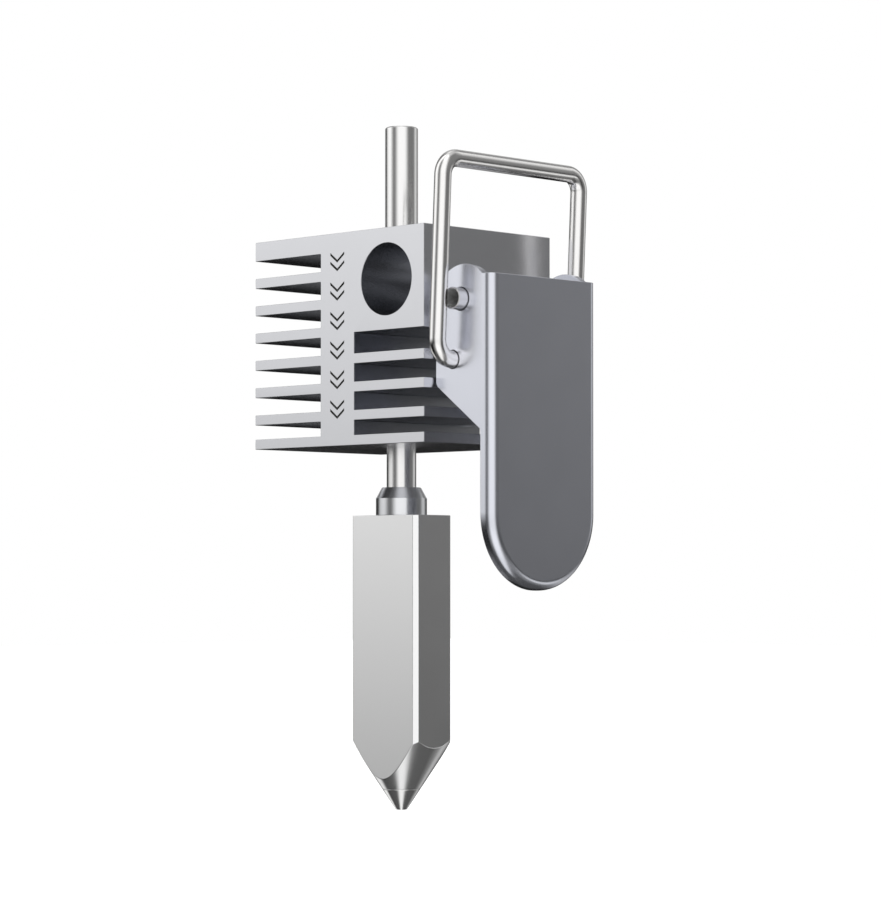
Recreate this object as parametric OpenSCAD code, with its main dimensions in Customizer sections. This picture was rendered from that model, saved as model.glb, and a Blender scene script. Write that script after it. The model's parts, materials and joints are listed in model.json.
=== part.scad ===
// Quick-change hotend: a finned heatsink on a steel tube, a flat-sided nozzle, and a toggle latch.
// The origin is on the tube axis at the heatsink's top face. +Z is up, -Y is the latch side and
// -X is the marked side. All sizes are in millimetres.

/* [Heatsink] */
// Width along X
sink_w = 17.6; // [17.4:0.1:17.8]
// Depth along Y
sink_d = 24.2; // [24.1:0.1:24.3]
// Height from top face to underside
sink_h = 20.9; // [20.7:0.1:21.1]
// Thickness of the upright web round the tube
web_t = 4.8; // [4.4:0.1:5.2]
// Thickness of the top plate
top_fin_t = 1.9; // [1.7:0.1:2.1]
// Thickness of each fin
fin_t = 1.0; // [0.9:0.05:1.1]
// Distance from one fin to the next
fin_pitch = 2.76; // [2.7:0.02:2.8]
// Number of slots on the back side
slot_count = 7; // [5:1:7]
// Height of the solid block on the latch side
block_h = 9.9; // [9.7:0.1:10.1]
// Diameter of the locating hole along X
locating_d = 7.0; // [6:0.1:7.4]
// Distance of the locating hole in front of the tube axis
locating_front = 6.9; // [6.7:0.1:7.1]
// Depth of the locating hole's axis below the top face
locating_down = 5.0; // [4.8:0.1:5.2]

/* [Tube and collar] */
// Outer diameter above the heatsink
feed_od = 3.3; // [3.2:0.05:3.4]
// Outer diameter of the heat break, from the heatsink downwards
break_od = 2.96; // [2.9:0.02:2.98]
// Bore of the filament path
filament_d = 2.0; // [1.9:0.05:2.1]
// Height of the feed end above the heatsink
feed_h = 11.3; // [9:0.1:13]
// Height of the collar's top, measured down from the heatsink's top face
collar_top_z = -24.8; // [-25:0.1:-24.6]
// Outer diameter of the collar
collar_d = 5.1; // [5:0.05:5.1]
// Diameter of the collar's top edge, above its chamfer
collar_top_d = 3.9; // [3.7:0.1:4.2]
// Height of the collar's chamfer
collar_chamfer_h = 1.1; // [0.8:0.1:1.4]

/* [Nozzle] */
// Level of the nozzle body's top
nozzle_top_z = -27.6; // [-27.8:0.1:-27.4]
// Thickness of the nozzle body between its heater faces, along X
nozzle_w = 5.26; // [5.12:0.02:5.3]
// Depth of the nozzle body along Y
nozzle_d = 9.4; // [9.3:0.02:9.6]
// Chamfer along the body's upright corners
nozzle_chamfer = 0.42; // [0.3:0.02:0.6]
// Level where the body ends and the tip insert shows
seam_z = -54.86; // [-55:0.02:-54.8]
// Level of the tip's flat end
tip_z = -56.94; // [-57:0.01:-56.8]
// Radius of the cone at the seam
seam_r = 1.93; // [1.85:0.01:2]
// Radius of the tip's flat end
tip_r = 0.56; // [0.45:0.01:0.6]
// Half angle of the body's cone, in degrees
cone_angle = 33.4; // [33:0.1:34]
// Diameter of the orifice
orifice_d = 0.4; // [0.2:0.1:0.8]

/* [Lever] */
// Half of the lever's outer width
lever_half_w = 7.4; // [7.35:0.01:7.45]
// Sheet thickness
sheet_t = 0.8; // [0.7:0.05:0.85]
// Outer bend radius of the pressed rim
bend_r = 1.0; // [0.9:0.05:1.05]
// Level of the plate's top edge
plate_top_z = -5.15; // [-5.3:0.05:-5]
// Level of the middle of the rounded lower end
plate_round_z = -27.65; // [-28.5:0.05:-26]
// Distance of the plate's outer face in front of the tube axis
plate_front = 19.7; // [19.6:0.05:19.8]
// Depth of the pressed rim
rim_depth = 1.53; // [1.4:0.01:1.7]
// Distance of the ears' back edge in front of the tube axis
ear_back = 12.3; // [12.3:0.02:12.4]
// Radius of the ears' rounded top
ear_top_r = 3.6; // [3.5:0.05:3.65]

/* [Pivot and bail] */
// Distance of the pivot in front of the tube axis
pivot_front = 15.6; // [15.5:0.05:15.7]
// Depth of the pivot below the heatsink's top face
pivot_down = 7.4; // [7.3:0.05:7.5]
// Outer diameter of the hollow pivot pin
pin_od = 2.1; // [2:0.05:2.2]
// Bore of the hollow pivot pin
pin_id = 1.74; // [1.4:0.02:1.8]
// Half of the pivot pin's length
pin_half_l = 8.55; // [8.2:0.05:8.55]
// Diameter of the bail's wire
wire_d = 1.65; // [1.5:0.05:1.65]
// Distance of the bail's feet in front of the tube axis
foot_front = 14.53; // [14.45:0.01:14.6]
// Depth of the bail's feet below the heatsink's top face
foot_down = 13.1; // [13:0.05:13.2]
// Half of the distance between the bail's legs, middle to middle
leg_half = 9.5; // [9.5:0.05:9.7]
// Length of the bail from its feet to its top bar, middle to middle
bail_l = 19.04; // [17:0.01:20]
// Lean of the closed bail towards the latch side, in degrees
bail_lean = 2.7; // [1:0.1:4]
// Radial running clearance round the pin and the bail's feet
run_gap = 0.07; // [0.03:0.01:0.09]

/* [Hidden] */
$fn = 64;
eps = 1;                          // how far a cutter runs past the face that it cuts
seat_gap = 0.02;                  // radial gap of a part that is pressed or clamped in a hole
shoulder_gap = 0.05;              // radial gap of the tube's shoulder in its countersink

first_front_slot = 3;             // the first back slot that also cuts the latch side
block_front_y = -sink_d / 2;
pivot_y = -pivot_front;
pivot_z = -pivot_down;
knuckle_r = 2.2;
knuckle_half_w = 6.3;

grub_r = 1.25;
grub_l = 6.0;
grub_levels = [-6.0, -14.5];      // height of each set screw's axis
grub_hex_af = 1.3;                // key size, across the flats
grub_hex_deep = 1.4;
grub_tip_x = break_od / 2 + seat_gap;

mark_count = 6;
mark_pitch = 2.9;
mark_first_z = -2.3;
mark_half_w = 1.0;
mark_drop = 0.75;                 // how far a chevron's point lies below its ends
mark_stroke = 0.28;               // height of a chevron's stroke
mark_step = 0.85;                 // distance between the two chevrons of one mark
mark_deep = 0.15;

edge_break = 0.12;                // small chamfer on turned edges
socket_bottom_z = nozzle_top_z - 3.9;
tip_shank_top_z = -50.5;
tip_shank_r = 1.4;
tip_funnel_z = -53.4;
orifice_top_z = tip_z + 0.6;
nozzle_corner_r = 5.6;            // wider than the body's corners

plate_bend_y = bend_r - plate_front;          // where the rim's bend ends
rim_back_y = rim_depth - plate_front;
ear_centre_y = -ear_back - ear_top_r;
ear_centre_z = plate_top_z + 1.05 - ear_top_r;
ear_corner_z = -15.5;
ear_foot_z = -19.85;
ear_corner_r = 0.9;

bend_low_r = 1.9;                 // centreline radius of the bail's lower bends
bend_high_r = 1.7;                // centreline radius of the bail's upper bends
foot_end_x = lever_half_w - sheet_t - 0.5;    // how far in the bail's feet reach

function slot_top(i) = -(top_fin_t + i * fin_pitch);
function slot_bottom(i) = max(slot_top(i) - fin_pitch + fin_t, fin_t - sink_h);

// A cutter from one height down to another, across the whole width, between two Y values
module slot_cut(y_low, y_high, z_high, z_low) {
    translate([-sink_w / 2 - eps, y_low, z_low])
        cube([sink_w + 2 * eps, y_high - y_low, z_high - z_low]);
}

// A cylinder along X, from one X value to another
module rod_x(r, x_from, x_to) {
    translate([x_from, 0, 0])
        rotate([0, 90, 0])
            cylinder(r = r, h = x_to - x_from);
}

// One V-shaped stroke in the Y-Z plane, cut into the marked side
module chevron_cut(z_ends) {
    translate([-sink_w / 2 - eps, 0, z_ends])
        rotate([90, 0, 90])
            linear_extrude(height = eps + mark_deep)
                polygon([
                    [-mark_half_w, 0], [0, -mark_drop], [mark_half_w, 0],
                    [mark_half_w, -mark_stroke], [0, -mark_drop - mark_stroke],
                    [-mark_half_w, -mark_stroke]
                ]);
}

module heatsink_marks() {
    for (i = [0 : mark_count - 1])
        for (k = [0, 1])
            chevron_cut(mark_first_z - i * mark_pitch + (k - 0.5) * mark_step);
}

module heatsink_blank() {
    translate([-sink_w / 2, -sink_d / 2, -sink_h])
        cube([sink_w, sink_d, sink_h]);
    translate([-knuckle_half_w, pivot_y, pivot_z - knuckle_r])
        cube([2 * knuckle_half_w, block_front_y - pivot_y + eps, 2 * knuckle_r]);
    translate([0, pivot_y, pivot_z])
        rod_x(knuckle_r, -knuckle_half_w, knuckle_half_w);
}

// The hole that clamps the tube, with a countersink for the tube's shoulder at the top
module heatsink_bore() {
    bore_r = break_od / 2 + seat_gap;
    mouth_r = feed_od / 2 + shoulder_gap;
    rotate_extrude()
        polygon([
            [0, -sink_h - eps], [bore_r, -sink_h - eps], [bore_r, bore_r - mouth_r],
            [mouth_r, 0], [mouth_r, eps], [0, eps]
        ]);
}

module heatsink() {
    color([0.80, 0.81, 0.83])
        difference() {
            heatsink_blank();
            for (i = [0 : slot_count - 1])
                slot_cut(web_t / 2, sink_d / 2 + eps, slot_top(i), slot_bottom(i));
            for (i = [first_front_slot : slot_count - 1])
                slot_cut(
                    block_front_y - eps, -web_t / 2,
                    i == first_front_slot ? -block_h : slot_top(i), slot_bottom(i)
                );
            translate([0, -locating_front, -locating_down])
                rod_x(locating_d / 2, -sink_w / 2 - eps, sink_w / 2 + eps);
            heatsink_bore();
            translate([0, pivot_y, pivot_z])
                rod_x(pin_od / 2 + seat_gap, -knuckle_half_w - eps, knuckle_half_w + eps);
            for (z = grub_levels)
                translate([0, 0, z])
                    rod_x(grub_r + seat_gap, 0, sink_w / 2 + eps);
            heatsink_marks();
        }
}

module heat_break_tube() {
    color([0.78, 0.77, 0.76])
        rotate_extrude()
            polygon([
                [filament_d / 2, feed_h], [feed_od / 2 - edge_break, feed_h],
                [feed_od / 2, feed_h - edge_break], [feed_od / 2, 0],
                [break_od / 2, (break_od - feed_od) / 2], [break_od / 2, socket_bottom_z],
                [filament_d / 2, socket_bottom_z]
            ]);
}

module nozzle_collar() {
    color([0.72, 0.73, 0.75])
        rotate_extrude()
            polygon([
                [break_od / 2 + seat_gap, collar_top_z], [collar_top_d / 2, collar_top_z],
                [collar_d / 2, collar_top_z - collar_chamfer_h], [collar_d / 2, nozzle_top_z],
                [break_od / 2 + seat_gap, nozzle_top_z]
            ]);
}

// The bar's outline seen from above, with its four corners chamfered
module nozzle_outline() {
    x = nozzle_w / 2;
    y = nozzle_d / 2;
    c = nozzle_chamfer;
    polygon([
        [x, y - c], [x - c, y], [c - x, y], [-x, y - c],
        [-x, c - y], [c - x, -y], [x - c, -y], [x, c - y]
    ]);
}

module nozzle_body() {
    corner_z = seam_z + (nozzle_corner_r - seam_r) / tan(cone_angle);
    color([0.74, 0.74, 0.74])
        difference() {
            intersection() {
                translate([0, 0, seam_z])
                    linear_extrude(height = nozzle_top_z - seam_z)
                        nozzle_outline();
                rotate_extrude()
                    polygon([
                        [0, seam_z], [seam_r, seam_z], [nozzle_corner_r, corner_z],
                        [nozzle_corner_r, nozzle_top_z], [0, nozzle_top_z]
                    ]);
            }
            translate([0, 0, socket_bottom_z])
                cylinder(r = break_od / 2 + seat_gap, h = nozzle_top_z - socket_bottom_z + eps);
            translate([0, 0, seam_z])
                cylinder(r = filament_d / 2, h = nozzle_top_z - seam_z);
            translate([0, 0, seam_z - eps])
                cylinder(r = tip_shank_r + seat_gap, h = tip_shank_top_z - seam_z + eps);
        }
}

module nozzle_tip() {
    color([0.70, 0.69, 0.68])
        rotate_extrude()
            polygon([
                [filament_d / 2, tip_shank_top_z], [tip_shank_r, tip_shank_top_z],
                [tip_shank_r, seam_z], [seam_r, seam_z],
                [tip_r, tip_z], [orifice_d / 2, tip_z],
                [orifice_d / 2, orifice_top_z], [filament_d / 2, tip_funnel_z]
            ]);
}

module grub_screws() {
    color([0.25, 0.25, 0.27])
        for (z = grub_levels)
            translate([0, 0, z])
                difference() {
                    rod_x(grub_r, grub_tip_x, grub_tip_x + grub_l);
                    translate([grub_tip_x + grub_l - grub_hex_deep, 0, 0])
                        rotate([0, 90, 0])
                            cylinder(d = grub_hex_af / cos(30), h = grub_hex_deep + eps, $fn = 6);
                }
}

module pivot_pin() {
    color([0.70, 0.70, 0.72])
        translate([0, pivot_y, pivot_z])
            difference() {
                rod_x(pin_od / 2, -pin_half_l, pin_half_l);
                rod_x(pin_id / 2, -pin_half_l - eps, pin_half_l + eps);
            }
}

// Half of the rim's section. The first axis runs outwards from the plate's middle, the second
// from the plate towards the heatsink.
module rim_solid(inset) {
    r = bend_r - inset;
    intersection() {
        square([lever_half_w - inset, rim_depth - inset]);
        union() {
            square([lever_half_w - bend_r, rim_depth]);
            translate([0, r])
                square([lever_half_w, rim_depth]);
            translate([lever_half_w - bend_r, r])
                circle(r = r);
        }
    }
}

module rim_section() {
    difference() {
        rim_solid(0);
        translate([0, sheet_t])
            rim_solid(sheet_t);
    }
}

module lever_pan() {
    translate([0, -plate_front, plate_round_z]) {
        for (side = [0, 1])
            mirror([side, 0, 0])
                linear_extrude(height = plate_top_z - plate_round_z)
                    rim_section();
        rotate([90, 0, 0])
            mirror([0, 0, 1])
                rotate([0, 0, 180])
                    rotate_extrude(angle = 180)
                        rim_section();
    }
}

// The ear's outline in the Y-Z plane
module ear_outline() {
    lean = atan2(ear_corner_z - ear_foot_z, -ear_back - rim_back_y);
    reach = ear_corner_r / tan((90 + lean) / 2);
    intersection() {
        union() {
            translate([ear_centre_y, ear_centre_z])
                circle(r = ear_top_r);
            polygon([
                [plate_bend_y, ear_centre_z], [-ear_back, ear_centre_z],
                [-ear_back, ear_corner_z + reach],
                [-ear_back - reach * cos(lean), ear_corner_z - reach * sin(lean)],
                [rim_back_y, ear_foot_z], [plate_bend_y, ear_foot_z]
            ]);
            translate([-ear_back - ear_corner_r, ear_corner_z + reach])
                circle(r = ear_corner_r);
        }
        translate([plate_bend_y, ear_foot_z])
            square([plate_front, plate_front + sink_h]);
    }
}

module lever_ear() {
    translate([-lever_half_w, 0, 0])
        rotate([90, 0, 90])
            linear_extrude(height = sheet_t)
                ear_outline();
}

module lever() {
    color([0.60, 0.61, 0.65])
        difference() {
            union() {
                lever_pan();
                for (side = [0, 1])
                    mirror([side, 0, 0])
                        lever_ear();
            }
            translate([0, pivot_y, pivot_z])
                rod_x(pin_od / 2 + run_gap, -lever_half_w - eps, lever_half_w + eps);
            translate([0, -foot_front, -foot_down])
                rod_x(wire_d / 2 + run_gap, -lever_half_w - eps, lever_half_w + eps);
        }
}

// A quarter turn of wire in the X-Z plane, from the +X direction round to the +Z direction
module wire_quarter(r) {
    rotate([90, 0, 0])
        rotate_extrude(angle = 90)
            translate([r, 0])
                circle(r = wire_d / 2);
}

module bail_half() {
    low_x = leg_half - bend_low_r;
    rod_x(wire_d / 2, foot_end_x, low_x);
    translate([low_x, 0, bend_low_r])
        rotate([0, 90, 0])
            wire_quarter(bend_low_r);
    translate([leg_half, 0, bend_low_r])
        cylinder(r = wire_d / 2, h = bail_l - bend_low_r - bend_high_r);
    translate([leg_half - bend_high_r, 0, bail_l - bend_high_r])
        wire_quarter(bend_high_r);
}

module bail() {
    bar_half = leg_half - bend_high_r;
    color([0.80, 0.79, 0.78])
        translate([0, -foot_front, -foot_down])
            rotate([bail_lean, 0, 0]) {
                for (side = [0, 1])
                    mirror([side, 0, 0])
                        bail_half();
                translate([0, 0, bail_l])
                    rod_x(wire_d / 2, -bar_half, bar_half);
            }
}

heatsink();
heat_break_tube();
nozzle_collar();
nozzle_body();
nozzle_tip();
grub_screws();
pivot_pin();
lever();
bail();
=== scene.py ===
"""Studio model of a quick-change hotend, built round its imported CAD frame.

The pieces are modelled in millimetres and turned into metres when they are settled. They stand in
the frame's own axes: the origin is on the tube axis at the heatsink's top face, +Z is up, -Y is
the latch side and -X is the marked side.
"""

from __future__ import annotations

import json
import logging
import math
from dataclasses import dataclass
from enum import Enum
from typing import Any, Sequence

import bmesh
import bpy
from mathutils import Matrix, Vector


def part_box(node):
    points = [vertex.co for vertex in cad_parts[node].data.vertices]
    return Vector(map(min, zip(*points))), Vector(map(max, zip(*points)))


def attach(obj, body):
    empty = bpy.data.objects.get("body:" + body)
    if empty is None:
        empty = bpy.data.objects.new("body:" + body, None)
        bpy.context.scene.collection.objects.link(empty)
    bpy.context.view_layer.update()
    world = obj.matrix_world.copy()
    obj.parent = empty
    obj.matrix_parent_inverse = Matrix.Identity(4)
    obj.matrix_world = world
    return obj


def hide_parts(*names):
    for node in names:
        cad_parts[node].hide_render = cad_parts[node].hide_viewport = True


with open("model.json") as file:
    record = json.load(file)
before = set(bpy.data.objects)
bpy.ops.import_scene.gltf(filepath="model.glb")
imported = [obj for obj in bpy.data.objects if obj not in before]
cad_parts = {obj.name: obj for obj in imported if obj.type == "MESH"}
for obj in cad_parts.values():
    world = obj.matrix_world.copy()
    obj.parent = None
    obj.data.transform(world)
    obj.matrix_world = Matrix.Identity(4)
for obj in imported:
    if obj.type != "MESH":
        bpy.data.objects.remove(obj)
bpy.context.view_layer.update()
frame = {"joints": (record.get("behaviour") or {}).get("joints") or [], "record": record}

LOG = logging.getLogger("hotend")
MM = 0.001
BORE_SEGMENTS = 128
TURNED_SEGMENTS = 96
PIN_SEGMENTS = 64
SMALL_SEGMENTS = 48
ARC_STEPS = 32
MERGE_DISTANCE = 1e-5  # how close vertices are when they count as one, in millimetres
TINY = 1e-4  # stands in for zero where a number is divided by
EDGE_SHARE = 0.45  # the most of an edge that a rounding takes at either end
OVERSHOOT = 1.0  # how far a cutter runs past the face that it cuts
EDGE_ANGLE = 28.0  # the smallest angle that usually counts as an edge to break, in degrees
SHARP_ANGLE = 50.0  # edges sharper than this aren't smoothed over, in degrees
CLOUD_SCALE = 260.0  # how many soft clouds a finish has in a metre
NOISE_RANGE = (0.32, 0.68)  # the part of a metal's noise that is used
SPECKLE_RANGE = (0.3, 0.7)  # the part of a paint's noise that is used
MIX_FIRST, MIX_SECOND, MIX_RESULT = 6, 7, 2  # a mix node's sockets for colours
WHITE = (1.0, 1.0, 1.0, 1.0)
ORIGIN = Vector((0.0, 0.0, 0.0))

Point = tuple[float, float]
Outline = list[Point]


class Body(Enum):
    """The frame's moving bodies."""

    FRAME = "frame"
    LEVER = "latch_lever"
    BAIL = "wire_bail"


class Slot(Enum):
    """The record's material slots."""

    HEATSINK = "heatsink_aluminium"
    TUBE = "tube_steel"
    COLLAR = "collar_steel"
    NOZZLE = "nozzle_plated"
    TIP = "tip_steel"
    SCREW = "screw_steel"
    PIN = "pin_steel"
    LEVER = "lever_steel"
    BAIL = "bail_wire"


class Axis(Enum):
    """The direction that a turned piece's own axis points in."""

    X = "X"
    Z = "Z"


class Cut(Enum):
    """What a cutter does to a piece."""

    REMOVE = "DIFFERENCE"
    KEEP_COMMON = "INTERSECT"


# ---------------------------------------------------------------- sizes from the frame


def box_mm(node: str) -> tuple[Vector, Vector]:
    """Gives a CAD node's lowest and highest corners.

    Args:
        node: The node's name.

    Returns:
        The two corners, in millimetres.
    """
    low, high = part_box(node)
    return low / MM, high / MM


def mount_mm(name: str) -> tuple[Vector, float]:
    """Gives the place and the radius of a round mount.

    Args:
        name: The mount's name in the record.

    Returns:
        The mount's point and its radius, in millimetres.
    """
    mount = next(m for m in frame["record"]["mounts"] if m["name"] == name)
    return Vector(mount["pos_m"]) / MM, mount["dims"]["r_mm"]


def joint_mm(name: str) -> Vector:
    """Gives a point on a joint's axis, in millimetres."""
    joint = next(j for j in frame["joints"] if j["name"] == name)
    return Vector(joint["pos_m"]) / MM


# ---------------------------------------------------------------- outlines and meshes


def round_corner(before: Point, corner: Point, after: Point, radius: float, steps: int) -> Outline:
    """Rounds one corner of an outline.

    Args:
        before: The point before the corner.
        corner: The corner.
        after: The point after it.
        radius: The radius of the rounding, made smaller where an edge is too short for it.
        steps: How many straight pieces the arc has.

    Returns:
        The points that take the corner's place.
    """
    here = Vector(corner)
    back, ahead = Vector(before) - here, Vector(after) - here
    half = back.angle(ahead) / 2
    reach = min(radius / math.tan(half), EDGE_SHARE * back.length, EDGE_SHARE * ahead.length)
    if reach < TINY:
        return [corner]
    back.normalize()
    ahead.normalize()
    middle = here + (back + ahead).normalized() * reach / math.cos(half)
    start, end = here + back * reach - middle, here + ahead * reach - middle
    return [tuple(middle + start.slerp(end, i / steps) * start.length) for i in range(steps + 1)]


def rounded(corners: Sequence[Point], radius: float, steps: int = 3) -> Outline:
    """Rounds every corner of a closed outline.

    Args:
        corners: The outline's corners, in order.
        radius: The radius of the rounding.
        steps: How many straight pieces each arc has.

    Returns:
        The points of the rounded outline.
    """
    points: Outline = []
    for i, corner in enumerate(corners):
        after = corners[(i + 1) % len(corners)]
        points += round_corner(corners[i - 1], corner, after, radius, steps)
    return points


def rod_outline(inner: float, outer: float, low: float, high: float) -> Outline:
    """Gives the outline that a lathe turns into a plain rod or, with an inner radius, a pipe."""
    return [(inner, low), (outer, low), (outer, high), (inner, high)]


def arc(centre: Point, radius: float, start: float, end: float, steps: int) -> Outline:
    """Gives the points of an arc.

    Args:
        centre: The arc's centre.
        radius: The arc's radius.
        start: The angle of the first point, in degrees.
        end: The angle of the last point, in degrees.
        steps: How many straight pieces the arc has.

    Returns:
        The arc's points, both ends included.
    """
    angles = [math.radians(start + (end - start) * i / steps) for i in range(steps + 1)]
    return [(centre[0] + radius * math.cos(a), centre[1] + radius * math.sin(a)) for a in angles]


def add_object(name: str, data: bpy.types.ID) -> bpy.types.Object:
    """Makes an object and puts it in the scene.

    Args:
        name: The object's name.
        data: Its mesh or its camera.

    Returns:
        The new object.
    """
    item = bpy.data.objects.new(name, data)
    bpy.context.scene.collection.objects.link(item)
    return item


def new_piece(name: str, vertices: Sequence[Sequence[float]],
              faces: Sequence[Sequence[int]]) -> bpy.types.Object:
    """Makes an object from vertices and faces, merged and with its faces pointing outwards.

    Args:
        name: The object's name.
        vertices: The vertices' places, in millimetres.
        faces: The vertex numbers of each face.

    Returns:
        The new object.
    """
    mesh = bpy.data.meshes.new(name)
    mesh.from_pydata([tuple(v) for v in vertices], [], faces)
    work = bmesh.new()
    work.from_mesh(mesh)
    bmesh.ops.remove_doubles(work, verts=work.verts, dist=MERGE_DISTANCE)
    bmesh.ops.recalc_face_normals(work, faces=work.faces)
    work.to_mesh(mesh)
    work.free()
    return add_object(name, mesh)


def lathe(name: str, outline: Outline, axis: Axis = Axis.Z, centre: Vector = ORIGIN,
          segments: int = TURNED_SEGMENTS) -> bpy.types.Object:
    """Turns a closed outline round an axis.

    Args:
        name: The object's name.
        outline: Pairs of a radius and a distance along the axis.
        axis: The direction of the axis.
        centre: A point that the axis passes through.
        segments: How many steps the full turn has.

    Returns:
        The turned object.
    """
    vertices = []
    for k in range(segments):
        angle = 2 * math.pi * k / segments
        for radius, along in outline:
            across, up = radius * math.cos(angle), radius * math.sin(angle)
            point = (across, up, along) if axis is Axis.Z else (along, across, up)
            vertices.append(centre + Vector(point))
    count = len(outline)
    faces = []
    for k in range(segments):
        ring, after = k * count, (k + 1) % segments * count
        for i in range(count):
            j = (i + 1) % count
            faces.append((ring + i, ring + j, after + j, after + i))
    return new_piece(name, vertices, faces)


def prism(name: str, outline: Outline, low: float, high: float, axis: Axis = Axis.Z) -> bpy.types.Object:
    """Makes a straight prism.

    Args:
        name: The object's name.
        outline: X and Y pairs for a prism along Z, or Y and Z pairs for one along X.
        low: Where the prism starts along its axis.
        high: Where it ends.
        axis: The prism's axis.

    Returns:
        The prism.
    """
    count = len(outline)
    vertices = [
        (a, b, level) if axis is Axis.Z else (level, a, b)
        for level in (low, high) for a, b in outline
    ]
    faces: list[tuple[int, ...]] = [tuple(range(count)), tuple(range(count, 2 * count))]
    faces += [(i, (i + 1) % count, count + (i + 1) % count, count + i) for i in range(count)]
    return new_piece(name, vertices, faces)


def carve(piece: bpy.types.Object, cutter: bpy.types.Object, cut: Cut = Cut.REMOVE) -> None:
    """Cuts a piece with a cutter, which is then deleted.

    Args:
        piece: The piece that is cut.
        cutter: The closed mesh that cuts it.
        cut: Whether the cutter's space is removed or kept.
    """
    boolean = piece.modifiers.new("cut", "BOOLEAN")
    boolean.object = cutter
    boolean.operation = cut.value
    boolean.solver = "EXACT"
    flatten(piece)
    bpy.data.objects.remove(cutter)


def flatten(piece: bpy.types.Object) -> None:
    """Turns a piece's modifiers into a plain mesh.

    Args:
        piece: The piece.
    """
    bpy.context.view_layer.update()
    graph = bpy.context.evaluated_depsgraph_get()
    mesh = bpy.data.meshes.new_from_object(piece.evaluated_get(graph), depsgraph=graph)
    piece.modifiers.clear()
    piece.data = mesh


def soften(piece: bpy.types.Object, width: float, segments: int = 2,
           angle: float = EDGE_ANGLE) -> None:
    """Breaks a piece's sharp edges and flattens it.

    Args:
        piece: The piece.
        width: The width of the broken edge, in millimetres.
        segments: How many faces the broken edge has.
        angle: The smallest angle that counts as an edge, in degrees.
    """
    bevel = piece.modifiers.new("edges", "BEVEL")
    bevel.width = width
    bevel.segments = segments
    bevel.limit_method = "ANGLE"
    bevel.angle_limit = math.radians(angle)
    bevel.miter_outer = "MITER_ARC"
    bevel.use_clamp_overlap = False
    flatten(piece)


def settle(piece: bpy.types.Object) -> bpy.types.Object:
    """Gives a piece its smooth normals and its real size in metres.

    Args:
        piece: The piece, modelled in millimetres.

    Returns:
        The same piece.
    """
    piece.data.polygons.foreach_set("use_smooth", [True] * len(piece.data.polygons))
    piece.data.set_sharp_from_angle(angle=math.radians(SHARP_ANGLE))
    weighted = piece.modifiers.new("normals", "WEIGHTED_NORMAL")
    weighted.keep_sharp = True
    flatten(piece)
    piece.data.transform(Matrix.Scale(MM, 4))
    return piece


def install(piece: bpy.types.Object, body: Body, slot: Slot, *nodes: str) -> None:
    """Puts a finished piece on its body, in the place of its CAD nodes.

    Args:
        piece: The finished piece.
        body: The body that it moves with.
        slot: Its material slot; not used.
        *nodes: The CAD nodes that it stands for.
    """
    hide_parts(*nodes)
    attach(piece, body.value)
    LOG.info("%s: %d faces on %s", piece.name, len(piece.data.polygons), body.value)


# ---------------------------------------------------------------- node trees


class TreeBuilder:
    """Adds nodes to a node tree and links them."""

    def __init__(self, tree: bpy.types.NodeTree) -> None:
        """Takes the node tree that is filled."""
        self.tree = tree

    def add(self, kind: str, inputs: dict[Any, Any] | None = None, **settings: Any) -> bpy.types.Node:
        """Adds a node.

        Args:
            kind: The node's type.
            inputs: For each input's name or number, a value or the socket that feeds it.
            **settings: The node's own properties.

        Returns:
            The new node.
        """
        node = self.tree.nodes.new(kind)
        for name, value in settings.items():
            setattr(node, name, value)
        for key, value in (inputs or {}).items():
            for one in value if isinstance(value, list) else [value]:
                if isinstance(one, bpy.types.NodeSocket):
                    self.tree.links.new(one, node.inputs[key])
                else:
                    node.inputs[key].default_value = one
        return node

    def math(self, operation: str, *values: Any) -> bpy.types.NodeSocket:
        """Adds a math node.

        Args:
            operation: The operation's name.
            *values: Numbers or sockets.

        Returns:
            The result's socket.
        """
        node = self.add("ShaderNodeMath", dict(enumerate(values)), operation=operation)
        return node.outputs[0]

    def ramp(self, value: Any, start: float, end: float, low: float = 0.0,
             high: float = 1.0) -> bpy.types.NodeSocket:
        """Turns a value smoothly into another range.

        Args:
            value: The socket that is read.
            start: The value that gives low.
            end: The value that gives high.
            low: The result at the start.
            high: The result at the end.

        Returns:
            The result's socket.
        """
        inputs = {"Value": value, "From Min": start, "From Max": end, "To Min": low, "To Max": high}
        return self.add("ShaderNodeMapRange", inputs, interpolation_type="SMOOTHSTEP").outputs["Result"]

    def noise(self, place: bpy.types.NodeSocket, scale: float, detail: float) -> bpy.types.NodeSocket:
        """Adds a noise and gives its value."""
        inputs = {"Vector": place, "Scale": scale, "Detail": detail}
        return self.add("ShaderNodeTexNoise", inputs).outputs[0]


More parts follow.
